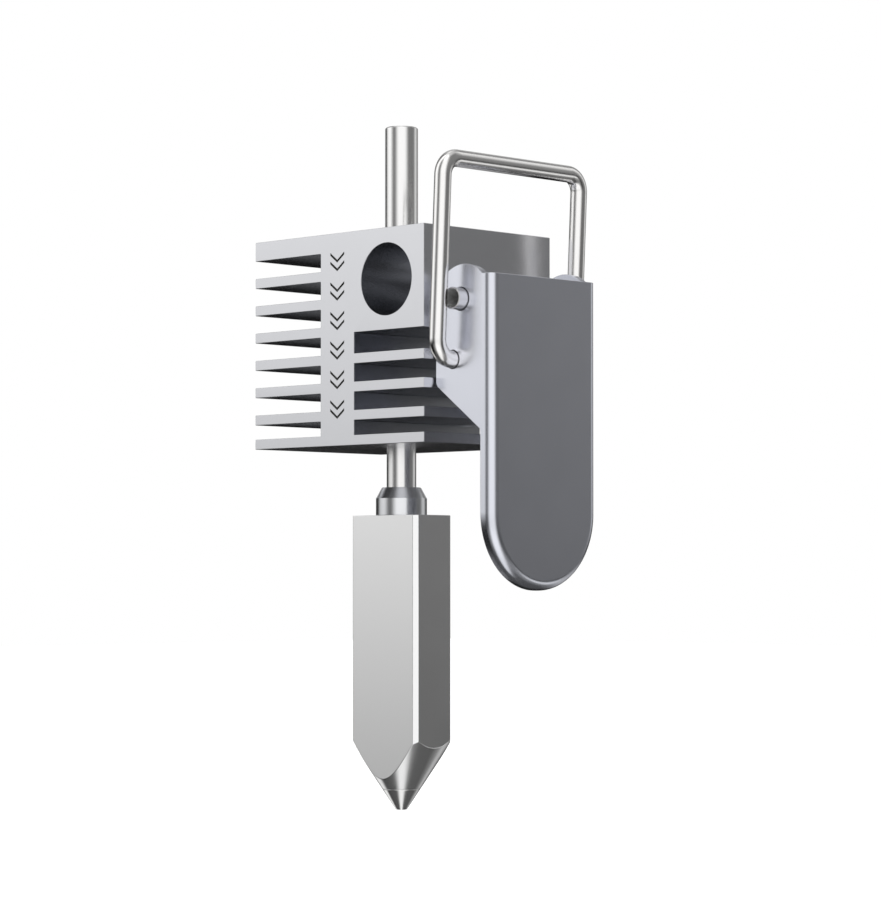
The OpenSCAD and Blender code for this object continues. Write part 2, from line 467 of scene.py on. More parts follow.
class GeometryTree(TreeBuilder):
    """A Geometry Nodes tree with named inputs."""

    def __init__(self, name: str) -> None:
        """Starts the tree with the geometry's own input and output.

        Args:
            name: The tree's name.
        """
        super().__init__(bpy.data.node_groups.new(name, "GeometryNodeTree"))
        self.values: dict[str, Any] = {}
        self.source = self.add("NodeGroupInput")
        for end in ("INPUT", "OUTPUT"):
            self.tree.interface.new_socket("Geometry", in_out=end, socket_type="NodeSocketGeometry")
        self.given = self.source.outputs["Geometry"]

    def ask(self, name: str, kind: str, value: Any) -> bpy.types.NodeSocket:
        """Adds a named input.

        Args:
            name: The input's name.
            kind: The socket type's last word, such as Float.
            value: What the modifier sets it to.

        Returns:
            The socket that carries the value inside the tree.
        """
        socket = self.tree.interface.new_socket(name, in_out="INPUT", socket_type="NodeSocket" + kind)
        self.values[socket.identifier] = value
        return self.source.outputs[name]

    def close(self, geometry: bpy.types.NodeSocket, coats: dict[str, tuple[Finish, Any]]) -> None:
        """Ends the tree in real geometry with its materials.

        Args:
            geometry: The geometry's socket.
            coats: For each material input's name, the finish and the faces that it covers.
        """
        real = self.add("GeometryNodeRealizeInstances", {"Geometry": geometry}).outputs[0]
        for name, (finish, faces) in coats.items():
            paint = self.ask(name, "Material", finish.material())
            inputs = {"Geometry": real, "Selection": faces, "Material": paint}
            real = self.add("GeometryNodeSetMaterial", inputs).outputs[0]
        self.add("NodeGroupOutput", {0: real})

    def within(self, low: Sequence[float], high: Sequence[float]) -> bpy.types.NodeSocket:
        """Picks the faces whose middles lie inside a box.

        Args:
            low: The box's lowest corner.
            high: The box's highest corner.

        Returns:
            The selection's socket.
        """
        place = self.add("GeometryNodeInputPosition").outputs[0]
        middle = self.add("ShaderNodeSeparateXYZ", {0: place}).outputs
        tests = [self.math("COMPARE", m, (a + b) / 2, (b - a) / 2) for m, a, b in zip(middle, low, high)]
        return self.math("MULTIPLY", self.math("MULTIPLY", tests[0], tests[1]), tests[2])

    def apply(self, piece: bpy.types.Object) -> None:
        """Runs the tree on a piece and keeps the result as its mesh.

        Args:
            piece: The piece.
        """
        modifier = piece.modifiers.new(self.tree.name, "NODES")
        modifier.node_group = self.tree
        for identifier, value in self.values.items():
            modifier[identifier] = value
        flatten(piece)

    def box(self, size: Any, centre: Any) -> bpy.types.NodeSocket:
        """Adds a box.

        Args:
            size: The box's size.
            centre: The box's middle.

        Returns:
            The box's geometry.
        """
        cube = self.add("GeometryNodeMeshCube", {"Size": size}).outputs[0]
        return self.add("GeometryNodeTransform", {"Geometry": cube, "Translation": centre}).outputs[0]

    def rod(self, radius: Any, length: float, centre: Any, axis: Axis,
            vertices: int) -> bpy.types.NodeSocket:
        """Adds a round rod.

        Args:
            radius: The rod's radius.
            length: The rod's length.
            centre: The rod's middle.
            axis: The rod's direction.
            vertices: How many sides it has.

        Returns:
            The rod's geometry.
        """
        sizes = {"Vertices": vertices, "Radius": radius, "Depth": length}
        rod = self.add("GeometryNodeMeshCylinder", sizes).outputs[0]
        turn = (0.0, math.pi / 2, 0.0) if axis is Axis.X else (0.0, 0.0, 0.0)
        inputs = {"Geometry": rod, "Translation": centre, "Rotation": turn}
        return self.add("GeometryNodeTransform", inputs).outputs[0]

    def row(self, instance: Any, count: Any, first: Any, step: Any,
            scale: Any = (1.0, 1.0, 1.0)) -> bpy.types.NodeSocket:
        """Repeats a geometry along a line.

        Args:
            instance: The geometry that repeats.
            count: How many there are.
            first: The first one's place.
            step: The distance from one to the next.
            scale: Each one's scale.

        Returns:
            The repeated geometry.
        """
        places = {"Count": count, "Start Location": first, "Offset": step}
        line = self.add("GeometryNodeMeshLine", places).outputs[0]
        inputs = {"Points": line, "Instance": instance, "Scale": scale}
        points = self.add("GeometryNodeInstanceOnPoints", inputs).outputs[0]
        return self.add("GeometryNodeRealizeInstances", {"Geometry": points}).outputs[0]

    def solid(self, operation: str, base: Any, others: list[Any]) -> bpy.types.NodeSocket:
        """Joins or cuts solids.

        Args:
            operation: UNION or DIFFERENCE.
            base: The first solid.
            others: The other solids.

        Returns:
            The resulting solid.
        """
        inputs = {"Mesh 1": base, "Mesh 2": others}
        if operation == "UNION":
            inputs = {"Mesh 2": [base, *others]}
        return self.add("GeometryNodeMeshBoolean", inputs, operation=operation, solver="EXACT").outputs[0]


# ---------------------------------------------------------------- finishes


class Grain(Enum):
    """How a finish's fine marks are stretched along X, Y and Z."""

    BLASTED = (1.0, 1.0, 1.0)
    BRUSHED_ACROSS = (0.04, 0.04, 1.0)
    BRUSHED_UPRIGHT = (1.0, 1.0, 0.04)
    DRAWN = (0.5, 0.5, 0.5)


@dataclass(frozen=True)
class Finish:
    """A surface with a material of its own.

    Attributes:
        name: The material's name.
        colour: The metal's reflectance, or the paint's colour.
        roughness: The middle of the roughness range.
    """

    name: str
    colour: tuple[float, float, float]
    roughness: float

    def material(self) -> bpy.types.Material:
        """Gives the material, which is made the first time.

        Returns:
            The material.
        """
        known = bpy.data.materials.get(self.name)
        if known is not None:
            return known
        material = bpy.data.materials.new(self.name)
        material.use_nodes = True
        material.node_tree.nodes.clear()
        nodes = TreeBuilder(material.node_tree)
        place = nodes.add("ShaderNodeTexCoord").outputs["Object"]
        shader = nodes.add("ShaderNodeBsdfPrincipled", self.surface(nodes, place))
        nodes.add("ShaderNodeOutputMaterial", {"Surface": shader.outputs[0]})
        return material

    def surface(self, nodes: TreeBuilder, place: bpy.types.NodeSocket) -> dict[str, Any]:
        """Adds the nodes that make the surface.

        Args:
            nodes: The material's nodes.
            place: The place on the piece.

        Returns:
            For each of the shader's inputs, a value or the socket that feeds it.
        """
        raise NotImplementedError


@dataclass(frozen=True)
class Metal(Finish):
    """A bare or plated metal surface.

    Attributes:
        grain: The direction of the fine marks.
        grain_size: The marks' width, in millimetres.
        grain_depth: The marks' depth, in millimetres.
        spread: How far the roughness varies to either side, as a share.
        tint: How far the reflectance varies to either side, as a share.
    """

    grain: Grain
    grain_size: float
    grain_depth: float
    spread: float = 0.04
    tint: float = 0.006

    def surface(self, nodes: TreeBuilder, place: bpy.types.NodeSocket) -> dict[str, Any]:
        """Adds fine marks and soft clouds, which vary the roughness and the reflectance.

        Args:
            nodes: The material's nodes.
            place: The place on the piece.

        Returns:
            For each of the shader's inputs, a value or the socket that feeds it.
        """
        scale = tuple(s / (self.grain_size * MM) for s in self.grain.value)
        stretched = nodes.add("ShaderNodeMapping", {"Vector": place, "Scale": scale}).outputs[0]
        fine = nodes.noise(stretched, 1.0, 3.0)
        cloud = nodes.noise(place, CLOUD_SCALE, 2.0)
        mixed = nodes.math("MULTIPLY_ADD", cloud, 0.5, nodes.math("MULTIPLY", fine, 0.5))
        low, high = self.roughness * (1 - self.spread), self.roughness * (1 + self.spread)
        dark = (*(c * (1 - self.tint) for c in self.colour), 1.0)
        light = (*(min(1.0, c * (1 + self.tint)) for c in self.colour), 1.0)
        colours = {0: nodes.ramp(mixed, *NOISE_RANGE), MIX_FIRST: dark, MIX_SECOND: light}
        colour = nodes.add("ShaderNodeMix", colours, data_type="RGBA").outputs[MIX_RESULT]
        marks = {"Height": fine, "Strength": 1.0, "Distance": self.grain_depth * MM}
        return {
            "Base Color": colour, "Metallic": 1.0, "Roughness": nodes.ramp(mixed, *NOISE_RANGE, low, high),
            "Normal": nodes.add("ShaderNodeBump", marks).outputs[0],
        }


@dataclass(frozen=True)
class Paint(Finish):
    """A dull coating without metal in it.

    Attributes:
        spread: How far the roughness varies to either side.
        speckle_size: The size of its fine speckle, in millimetres.
        speckle_depth: The speckle's depth, in millimetres.
    """

    roughness: float = 0.7
    spread: float = 0.1
    speckle_size: float = 0.06
    speckle_depth: float = 0.002

    def surface(self, nodes: TreeBuilder, place: bpy.types.NodeSocket) -> dict[str, Any]:
        """Adds the fine speckle.

        Args:
            nodes: The material's nodes.
            place: The place on the piece.

        Returns:
            For each of the shader's inputs, a value or the socket that feeds it.
        """
        speckle = nodes.noise(place, 1 / (self.speckle_size * MM), 2.0)
        low, high = self.roughness - self.spread, self.roughness + self.spread
        marks = {"Height": speckle, "Distance": self.speckle_depth * MM}
        return {
            "Base Color": (*self.colour, 1.0), "Roughness": nodes.ramp(speckle, *SPECKLE_RANGE, low, high),
            "Normal": nodes.add("ShaderNodeBump", marks).outputs[0],
        }


MILLED_ALUMINIUM = Metal("milled_aluminium", (0.695, 0.70, 0.725), 0.26, Grain.BRUSHED_ACROSS, 0.05, 0.00012)
# a darker copy of the milled aluminium for the slots, bores and holes: painted shade in the recesses
SLOT_SHADE_ALUMINIUM = Metal("slot_aluminium_painted_shade", (0.50, 0.51, 0.54), 0.26, Grain.BRUSHED_ACROSS, 0.06, 0.0002)
DRAWN_STEEL = Metal("drawn_steel_tube", (0.89, 0.885, 0.88), 0.22, Grain.BRUSHED_UPRIGHT, 0.06, 0.0003)
TURNED_STEEL = Metal("turned_steel", (0.80, 0.81, 0.83), 0.22, Grain.BRUSHED_ACROSS, 0.05, 0.0004)
NICKEL_PLATE = Metal("satin_plate", (0.91, 0.91, 0.91), 0.25, Grain.BLASTED, 0.08, 0.0002)
TIP_STEEL = Metal("turned_tip_steel", (0.90, 0.90, 0.89), 0.20, Grain.BRUSHED_ACROSS, 0.04, 0.0004)
PIN_STEEL = Metal("rolled_pin_steel", (0.74, 0.74, 0.76), 0.27, Grain.BLASTED, 0.06, 0.0004)
# a rougher copy of the pin steel with raised reflectance: painted light that lifts the shade inside the
# pin's bore
PIN_BORE_LIT_STEEL = Metal("pin_bore_painted_light", (0.80, 0.80, 0.80), 0.60, Grain.BLASTED, 0.10, 0.0006)
BLASTED_STEEL = Metal("blasted_lever_steel", (0.73, 0.745, 0.81), 0.25, Grain.BLASTED, 0.10, 0.0008)
POLISHED_WIRE = Metal("polished_wire", (0.91, 0.90, 0.89), 0.20, Grain.DRAWN, 0.10, 0.0003)
BLACK_OXIDE = Metal("black_oxide", (0.10, 0.10, 0.11), 0.40, Grain.BLASTED, 0.05, 0.0010)
MARK_INK = Paint("engraved_mark", (0.065, 0.065, 0.06))


# ---------------------------------------------------------------- the hotend's sub-assemblies


@dataclass
class Part:
    """A finished piece and where it belongs.

    Attributes:
        piece: The mesh object.
        finish: Its surface.
        slot: Its material slot.
        nodes: The CAD nodes that it stands for.
    """

    piece: bpy.types.Object
    finish: Finish
    slot: Slot
    nodes: tuple[str, ...]


class Assembly:
    """A group of pieces that are made together and move together."""

    body = Body.FRAME

    def build(self) -> list[Part]:
        """Builds the meshes, in millimetres.

        Returns:
            The group's parts.
        """
        raise NotImplementedError

    def dress(self, part: Part) -> None:
        """Gives a part its finish, unless its own tree has already done that.

        Args:
            part: The part.
        """
        if not part.piece.data.materials:
            part.piece.data.materials.append(part.finish.material())

    def make(self) -> None:
        """Builds, dresses and installs every part."""
        for part in self.build():
            self.dress(part)
            settle(part.piece)
            install(part.piece, self.body, part.slot, *part.nodes)


@dataclass
class CoolingBlock(Assembly):
    """The finned heatsink, its clamp screws and its engraved marks."""

    web: float = 4.8
    top_plate: float = 1.9
    fin: float = 1.0
    pitch: float = 2.76
    slots: int = 7
    front_slots: int = 4
    block_height: float = 9.9
    tube_bore: float = 1.50
    tube_mouth: float = 1.70
    mouth_height: float = 0.4
    relief_overlap: float = 0.2
    pin_bore: float = 1.07
    knuckle_radius: float = 2.2
    knuckle_half_width: float = 6.3
    knuckle_root: float = 1.0
    screw_bore: float = 1.27
    screw_levels: tuple[float, float] = (-6.0, -14.5)
    screw_edge: float = 0.2
    socket_radius: float = 0.75
    socket_depth: float = 1.4
    socket_edge: float = 0.04
    broken_edge: float = 0.05
    mark_count: int = 6
    mark_pitch: float = 2.9
    mark_first: float = -2.3
    mark_half_width: float = 1.0
    mark_drop: float = 0.75
    mark_stroke: float = 0.28
    mark_step: float = 0.85
    mark_depth: float = 0.15
    mark_margin: float = 0.1
    skin_depth: float = 0.01

    def __post_init__(self) -> None:
        """Reads the block's outer sizes from the frame."""
        low, high = box_mm("heatsink")
        self.width = 2 * high.x
        self.depth = 2 * high.y
        self.height = high.z - low.z
        self.pivot = joint_mm("lever_swing")

    def build(self) -> list[Part]:
        """Builds the heatsink and its screws.

        Returns:
            Both parts.
        """
        return [
            Part(self.heatsink(), MILLED_ALUMINIUM, Slot.HEATSINK, ("heatsink",)),
            Part(self.screws(), BLACK_OXIDE, Slot.SCREW, ("grub_screws",)),
        ]

    def heatsink(self) -> bpy.types.Object:
        """Makes the finned block with its bores and marks.

        Returns:
            The heatsink.
        """
        block = self.knuckle()
        self.fins().apply(block)
        soften(block, self.broken_edge)
        chevrons = self.chevron_pair()
        self.engraving(chevrons).apply(block)
        bpy.data.objects.remove(chevrons)
        return block

    def knuckle(self) -> bpy.types.Object:
        """Makes the rounded lug that carries the pivot pin.

        Returns:
            The lug, which the block is then built round.
        """
        centre, radius = (self.pivot.y, self.pivot.z), self.knuckle_radius
        root = self.knuckle_root - self.depth / 2
        nose = arc(centre, radius, 90, 270, ARC_STEPS)
        outline = [(root, centre[1] + radius), *nose, (root, centre[1] - radius)]
        return prism("heatsink_block", outline, -self.knuckle_half_width, self.knuckle_half_width, Axis.X)

    def fins(self) -> GeometryTree:
        """Lays out the block, its slots and its bores.

        Returns:
            The tree that makes them.
        """
        tree = GeometryTree("finned_block")
        size = tree.ask("Block Size", "Vector", (self.width, self.depth, self.height))
        slot_height = tree.ask("Slot Height", "Float", self.pitch - self.fin)
        last_height = tree.ask("Last Slot Height", "Float", self.last_slot_height())
        step = tree.ask("Slot Step", "Vector", (0.0, 0.0, -self.pitch))
        locating_place, locating_radius = mount_mm("locating_bore")
        locating = tree.ask("Locating Radius", "Float", locating_radius)
        blank = tree.box(size, (0.0, 0.0, -self.height / 2))
        solid = tree.solid("UNION", blank, [tree.given])
        first_front = self.slots - self.front_slots
        across = self.width + 2 * OVERSHOOT
        deep = self.depth / 2 - self.web / 2 + OVERSHOOT
        cutters = []
        for side, first, count in ((1, 0, self.slots), (-1, first_front, self.front_slots)):
            cutter = tree.box((across, deep, 1.0), (0.0, 0.0, -0.5))
            place = (0.0, side * (self.web + deep) / 2, -self.top_plate - first * self.pitch)
            number = tree.ask("Back Slots" if side > 0 else "Front Slots", "Int", count)
            index = tree.add("GeometryNodeInputIndex").outputs[0]
            # the lowest slot on each side has a height of its own
            is_last = tree.math("GREATER_THAN", index, tree.math("SUBTRACT", number, 1.5))
            heights = {"Switch": is_last, "False": slot_height, "True": last_height}
            tall = tree.add("GeometryNodeSwitch", heights, input_type="FLOAT").outputs[0]
            scale = tree.add("ShaderNodeCombineXYZ", {"X": 1.0, "Y": 1.0, "Z": tall}).outputs[0]
            cutters.append(tree.row(cutter, number, place, step, scale))
        relief = self.top_plate + first_front * self.pitch - self.block_height + self.relief_overlap
        relief_place = (0.0, -(self.web + deep) / 2, -self.block_height - relief / 2)
        upright = (0.0, 0.0, -self.height / 2)
        cutters += [
            tree.box((across, deep, relief), relief_place),
            tree.rod(self.tube_bore, self.height + 2 * OVERSHOOT, upright, Axis.Z, TURNED_SEGMENTS),
            tree.rod(self.tube_mouth, self.mouth_height, (0.0, 0.0, 0.0), Axis.Z, TURNED_SEGMENTS),
            tree.rod(locating, across, tuple(locating_place), Axis.X, BORE_SEGMENTS),
            tree.rod(self.pin_bore, self.width, tuple(self.pivot), Axis.X, SMALL_SEGMENTS),
        ]
        half = self.width / 2 + OVERSHOOT
        for level in self.screw_levels:
            place = (half / 2, 0.0, level)
            cutters.append(tree.rod(self.screw_bore, half, place, Axis.X, SMALL_SEGMENTS))
        solid = tree.solid("DIFFERENCE", solid, cutters)
        # faces inside the block's outer skin get the darker copy, which is painted shade in the slots and
        # bores
        low = tuple(self.skin_depth - size for size in (self.width / 2, self.depth / 2, self.height))
        inner = tree.within(low, (-low[0], -low[1], -self.skin_depth))
        tree.close(solid, {"Outer Finish": (MILLED_ALUMINIUM, True), "Slot Painted Shade": (SLOT_SHADE_ALUMINIUM, inner)})
        return tree

    def last_slot_height(self) -> float:
        """Gives the height that is left for the lowest slot, above the bottom fin."""
        return self.height - self.fin - self.top_plate - (self.slots - 1) * self.pitch

    def chevron_pair(self) -> bpy.types.Object:
        """Makes the cutter of one mark, two chevrons one above the other.

        Returns:
            The cutter, with the mark's ink on it.
        """
        half, drop, stroke = self.mark_half_width, self.mark_drop, self.mark_stroke
        outline = [
            (-half, 0.0), (0.0, -drop), (half, 0.0),
            (half, -stroke), (0.0, -drop - stroke), (-half, -stroke),
        ]
        face = -self.width / 2
        pair = prism("chevrons", outline, face - OVERSHOOT, face + self.mark_depth, Axis.X)
        work = bmesh.new()
        pair.data.transform(Matrix.Translation((0, 0, -self.mark_step / 2)))
        work.from_mesh(pair.data)
        pair.data.transform(Matrix.Translation((0, 0, self.mark_step)))
        work.from_mesh(pair.data)
        work.to_mesh(pair.data)
        work.free()
        pair.data.materials.append(MARK_INK.material())
        return pair

    def engraving(self, chevrons: bpy.types.Object) -> GeometryTree:
        """Cuts the row of marks into the web's end face.

        Args:
            chevrons: The cutter of one mark.

        Returns:
            The tree that cuts them.
        """
        tree = GeometryTree("engraved_row")
        base = tree.given
        count = tree.ask("Mark Count", "Int", self.mark_count)
        first = tree.ask("First Mark", "Vector", (0.0, 0.0, self.mark_first))
        step = tree.ask("Mark Step", "Vector", (0.0, 0.0, -self.mark_pitch))
        cutter = tree.ask("Mark Cutter", "Object", chevrons)
        shape = tree.add("GeometryNodeObjectInfo", {"Object": cutter}).outputs["Geometry"]
        low_x, reach = self.skin_depth - self.width / 2, self.mark_half_width + self.mark_margin
        high = (low_x + self.mark_depth, reach, -self.mark_margin)
        marked = tree.within((low_x, -reach, -self.height), high)
        cut = tree.solid("DIFFERENCE", base, [tree.row(shape, count, first, step)])
        tree.close(cut, {"Mark Finish": (MARK_INK, marked)})
        return tree

    def screws(self) -> bpy.types.Object:
        """Makes the two clamp screws with their hexagon sockets.

        Returns:
            Both screws, as one object.
        """
        low, high = box_mm("grub_screws")
        radius = (high.z - low.z - (self.screw_levels[0] - self.screw_levels[1])) / 2
        outline = rounded(rod_outline(0.0, radius, low.x, high.x), self.screw_edge)
        screw = lathe("clamp_screw", outline, Axis.X, segments=SMALL_SEGMENTS)
        hollow = rod_outline(0.0, self.socket_radius, high.x - self.socket_depth, high.x + OVERSHOOT)
        carve(screw, lathe("socket", hollow, Axis.X, segments=6))
        soften(screw, self.socket_edge)
        tree = GeometryTree("screw_row")
        count = tree.ask("Screw Count", "Int", len(self.screw_levels))
        first = tree.ask("First Screw", "Vector", (0.0, 0.0, self.screw_levels[0]))
        step = tree.ask("Screw Step", "Vector", (0.0, 0.0, self.screw_levels[1] - self.screw_levels[0]))
        row = tree.row(tree.given, count, first, step)
        tree.close(row, {"Finish": (BLACK_OXIDE, True)})
        tree.apply(screw)
        screw.name = "clamp_screws"
        return screw


@dataclass
class FilamentTube(Assembly):
    """The steel tube that the filament runs down, and the collar at its lower end."""

    break_radius: float = 1.48
    edge: float = 0.12
    fillet: float = 0.05
    collar_top_radius: float = 1.95
    collar_chamfer: float = 1.1
    press_gap: float = 0.02

    def build(self) -> list[Part]:
        """Builds the tube and its collar.

        Returns:
            Both parts.
        """
        return [
            Part(self.tube(), DRAWN_STEEL, Slot.TUBE, ("heat_break_tube",)),
            Part(self.collar(), TURNED_STEEL, Slot.COLLAR, ("nozzle_collar",)),
        ]

    def tube(self) -> bpy.types.Object:
        """Turns the tube, wide above the heatsink and narrow below.

        Returns:
            The tube.
        """
        low, high = box_mm("heat_break_tube")
        _, bore = mount_mm("filament_path")
        _, feed = mount_mm("feed_tube")
        outline = [
            (bore, high.z), (feed - self.edge, high.z), (feed, high.z - self.edge), (feed, 0.0),
            (self.break_radius, self.break_radius - feed), (self.break_radius, low.z), (bore, low.z),
        ]
        return lathe("filament_tube", rounded(outline, self.fillet))

    def collar(self) -> bpy.types.Object:
        """Turns the collar with its long top chamfer.

        Returns:
            The collar.
        """
        low, high = box_mm("nozzle_collar")
        inner = self.break_radius + self.press_gap
        outline = [
            (inner, high.z), (self.collar_top_radius, high.z), (high.x, high.z - self.collar_chamfer),
            (high.x, low.z), (inner, low.z),
        ]
        return lathe("nozzle_collar_ring", rounded(outline, self.fillet))


@dataclass
class Nozzle(Assembly):
    """The flat-sided nozzle body and the steel tip that is set in it."""

    chamfer: float = 0.42
    seam_radius: float = 1.93
    cone_angle: float = 33.4
    socket_radius: float = 1.50
    socket_depth: float = 3.9
    shank_radius: float = 1.40
    shank_gap: float = 0.02
    tip_radius: float = 0.56
    orifice_radius: float = 0.2
    orifice_length: float = 0.6
    funnel_level: float = -53.4
    run_on: float = 0.5
    broken_edge: float = 0.05
    edge_angle: float = 20.0
    tip_edge: float = 0.04

    def build(self) -> list[Part]:
        """Builds the body and the tip.

        Returns:
            Both parts.
        """
        return [
            Part(self.bar(), NICKEL_PLATE, Slot.NOZZLE, ("nozzle_body",)),
            Part(self.tip(), TIP_STEEL, Slot.TIP, ("nozzle_tip",)),
        ]

    def bar(self) -> bpy.types.Object:
        """Cuts the bar's eight upright sides to its cone and bores it.

        Returns:
            The nozzle body.
        """
        low, high = box_mm("nozzle_body")
        x, y, c = high.x, high.y, self.chamfer
        outline = [
            (x, y - c), (x - c, y), (c - x, y), (-x, y - c),
            (-x, c - y), (c - x, -y), (x - c, -y), (x, c - y),
        ]
        bar = prism("nozzle_bar", outline, low.z, high.z)
        wide = math.hypot(x, y) + OVERSHOOT
        slope = math.tan(math.radians(self.cone_angle))
        wide_z = low.z + (wide - self.seam_radius) / slope
        narrow = self.seam_radius - self.run_on * slope
        below, above = low.z - self.run_on, high.z + OVERSHOOT
        cone = [(0.0, below), (narrow, below), (wide, wide_z), (wide, above), (0.0, above)]
        carve(bar, lathe("cone", cone, segments=2 * TURNED_SEGMENTS), Cut.KEEP_COMMON)
        _, bore = mount_mm("filament_path")
        _, shank_top = box_mm("nozzle_tip")
        shank = self.shank_radius + self.shank_gap
        socket_z = high.z - self.socket_depth
        hollow = [
            (0.0, below), (shank, below), (shank, shank_top.z), (bore, shank_top.z), (bore, socket_z),
            (self.socket_radius, socket_z), (self.socket_radius, above), (0.0, above),
        ]
        carve(bar, lathe("hollow", hollow))
        soften(bar, self.broken_edge, angle=self.edge_angle)
        return bar

    def tip(self) -> bpy.types.Object:
        """Turns the tip with its shank, its funnel and its orifice.

        Returns:
            The tip.
        """
        low, high = box_mm("nozzle_tip")
        seam, _ = box_mm("nozzle_body")
        _, bore = mount_mm("filament_path")
        outline = [
            (bore, high.z), (self.shank_radius, high.z), (self.shank_radius, seam.z),
            (self.seam_radius, seam.z), (self.tip_radius, low.z), (self.orifice_radius, low.z),
            (self.orifice_radius, low.z + self.orifice_length), (bore, self.funnel_level),
        ]
        return lathe("nozzle_tip_insert", rounded(outline, self.tip_edge))


@dataclass
class PivotPin(Assembly):
    """The hollow pin that the lever turns on."""

    bore: float = 0.87
    rim: float = 0.04

    def build(self) -> list[Part]:
        """Turns the pin along X.

        Returns:
            The pin, on its own.
        """
        low, high = box_mm("pivot_pin")
        outline = rounded(rod_outline(self.bore, (high.z - low.z) / 2, low.x, high.x), self.rim)
        centre = Vector((0, *joint_mm("lever_swing").yz))
        pin = lathe("hollow_pivot_pin", outline, Axis.X, centre, PIN_SEGMENTS)
        return [Part(pin, PIN_STEEL, Slot.PIN, ("pivot_pin",))]

    def dress(self, part: Part) -> None:
        """Gives the pin its finish, and its bore a duller, lighter one whose lighter colour is painted light
        in the shaded bore.

        Args:
            part: The pin.
        """
        mesh = part.piece.data
        for finish in (part.finish, PIN_BORE_LIT_STEEL):
            mesh.materials.append(finish.material())
        # the bore's faces get the lighter copy, which is painted light in the pin's shaded bore
        axis = joint_mm("lever_swing").yz
        for face in mesh.polygons:
            face.material_index = int((face.center.yz - axis).length < self.bore + self.rim / 4)


@dataclass
class Lever(Assembly):
    """The pressed steel lever, a rimmed plate with two ears."""

    body = Body.LEVER
    sheet: float = 0.8
    bend: float = 1.0
    rim_depth: float = 1.53
    plate_top: float = -5.15
    ear_radius: float = 3.6
    ear_corner_z: float = -15.5
    ear_corner_radius: float = 0.9
    ear_foot_z: float = -19.85
    pin_hole: float = 1.12
    foot_hole: float = 0.895
    bend_steps: int = 10
    corner_steps: int = 8
    end_steps: int = 64
    broken_edge: float = 0.06
    edge_angle: float = 40.0

    def __post_init__(self) -> None:
        """Reads the lever's outer sizes from the frame."""
        low, high = box_mm("lever")
        self.half_width = high.x
        self.front = low.y
        self.ear_back = high.y
        self.round_z = low.z + self.half_width
        self.ear_centre = (high.y - self.ear_radius, high.z - self.ear_radius)

    def build(self) -> list[Part]:
        """Folds the sheet, gives it its thickness and drills its ears.

        Returns:
            The lever, on its own.
        """
        lever = new_piece("latch_lever_plate", *self.skin())
        if sum(p.normal.y * p.area for p in lever.data.polygons) > 0:
            lever.data.flip_normals()
        wall = lever.modifiers.new("sheet", "SOLIDIFY")
        wall.thickness = self.sheet
        wall.offset = -1.0
        wall.use_even_offset = True
        flatten(lever)
        for joint, radius in (("lever_swing", self.pin_hole), ("bail_swing", self.foot_hole)):
            self.drill(lever, joint_mm(joint), radius)
        soften(lever, self.broken_edge, angle=self.edge_angle)
        return [Part(lever, BLASTED_STEEL, Slot.LEVER, ("lever",))]

    def drill(self, lever: bpy.types.Object, centre: Vector, radius: float) -> None:
        """Drills one hole through both ears.

        Args:
            lever: The lever.
            centre: A point on the hole's axis.
            radius: The hole's radius.
        """
        reach = self.half_width + OVERSHOOT
        outline = rod_outline(0.0, radius, -reach, reach)
        carve(lever, lathe("drill", outline, Axis.X, Vector((0, *centre.yz)), PIN_SEGMENTS))

    def section(self) -> Outline:
        """Gives the rim's section, from its free edge round the bend to the plate.

        Returns:
            Pairs of how far in from the side and how far behind the plate each point is.
        """
        turn = [math.radians(90 * i / self.bend_steps) for i in range(self.bend_steps + 1)]
        curve = [(self.bend * (1 - math.cos(t)), self.bend * (1 - math.sin(t))) for t in turn]
        return [(0.0, self.rim_depth), *curve]

    def ear(self) -> Outline:
        """Gives the side wall's outline above the rounded end.

        Returns:
            The outline's points, in Y and Z.
        """
        bend_y = self.front + self.bend
        rim_y = self.front + self.rim_depth
        _, centre_z = self.ear_centre
        lift = math.degrees(math.asin((self.plate_top - centre_z) / self.ear_radius))
        crown = arc(self.ear_centre, self.ear_radius, 180 - lift, 0, ARC_STEPS)
        above, corner = (self.ear_back, centre_z), (self.ear_back, self.ear_corner_z)
        foot = (rim_y, self.ear_foot_z)
        elbow = round_corner(above, corner, foot, self.ear_corner_radius, self.corner_steps)
        return [
            (bend_y, self.round_z), (bend_y, self.plate_top), *crown, *elbow, foot, (rim_y, self.round_z),
        ]

    def skin(self) -> tuple[list[tuple[float, float, float]], list[tuple[int, ...]]]:
        """Lays out the lever's outer skin.

        Returns:
            The skin's vertices and faces.
        """
        vertices: list[tuple[float, float, float]] = []
        faces: list[tuple[int, ...]] = []

        def add(points: Sequence[tuple[float, float, float]]) -> None:
            """Adds one face with its own vertices.

            Args:
                points: The face's corners.
            """
            faces.append(tuple(range(len(vertices), len(vertices) + len(points))))
            vertices.extend(points)

        section = self.section()
        angles = [math.radians(180 + 180 * k / self.end_steps) for k in range(self.end_steps + 1)]

        def rim(k: int, j: int) -> tuple[float, float, float]:
            """Gives a point of the rounded end's rim.

            Args:
                k: The step round the end.
                j: The step along the section.

            Returns:
                The point.
            """
            inset, behind = section[j]
            reach = self.half_width - inset
            x, z = reach * math.cos(angles[k]), reach * math.sin(angles[k])
            return (x, self.front + behind, self.round_z + z)

        for k in range(self.end_steps):
            for j in range(len(section) - 1):
                add([rim(k, j), rim(k + 1, j), rim(k + 1, j + 1), rim(k, j + 1)])
        for side in (-1, 1):
            bend = [(side * (self.half_width - inset), self.front + behind) for inset, behind in section[1:]]
            for here, there in zip(bend, bend[1:]):
                wall = [(*here, self.round_z), (*here, self.plate_top)]
                add([*wall, (*there, self.plate_top), (*there, self.round_z)])
            add([(side * self.half_width, y, z) for y, z in self.ear()])
        inner = self.half_width - self.bend
        plate = [rim(k, len(section) - 1) for k in range(self.end_steps + 1)]
        add([*plate, (inner, self.front, self.plate_top), (-inner, self.front, self.plate_top)])
        return vertices, faces


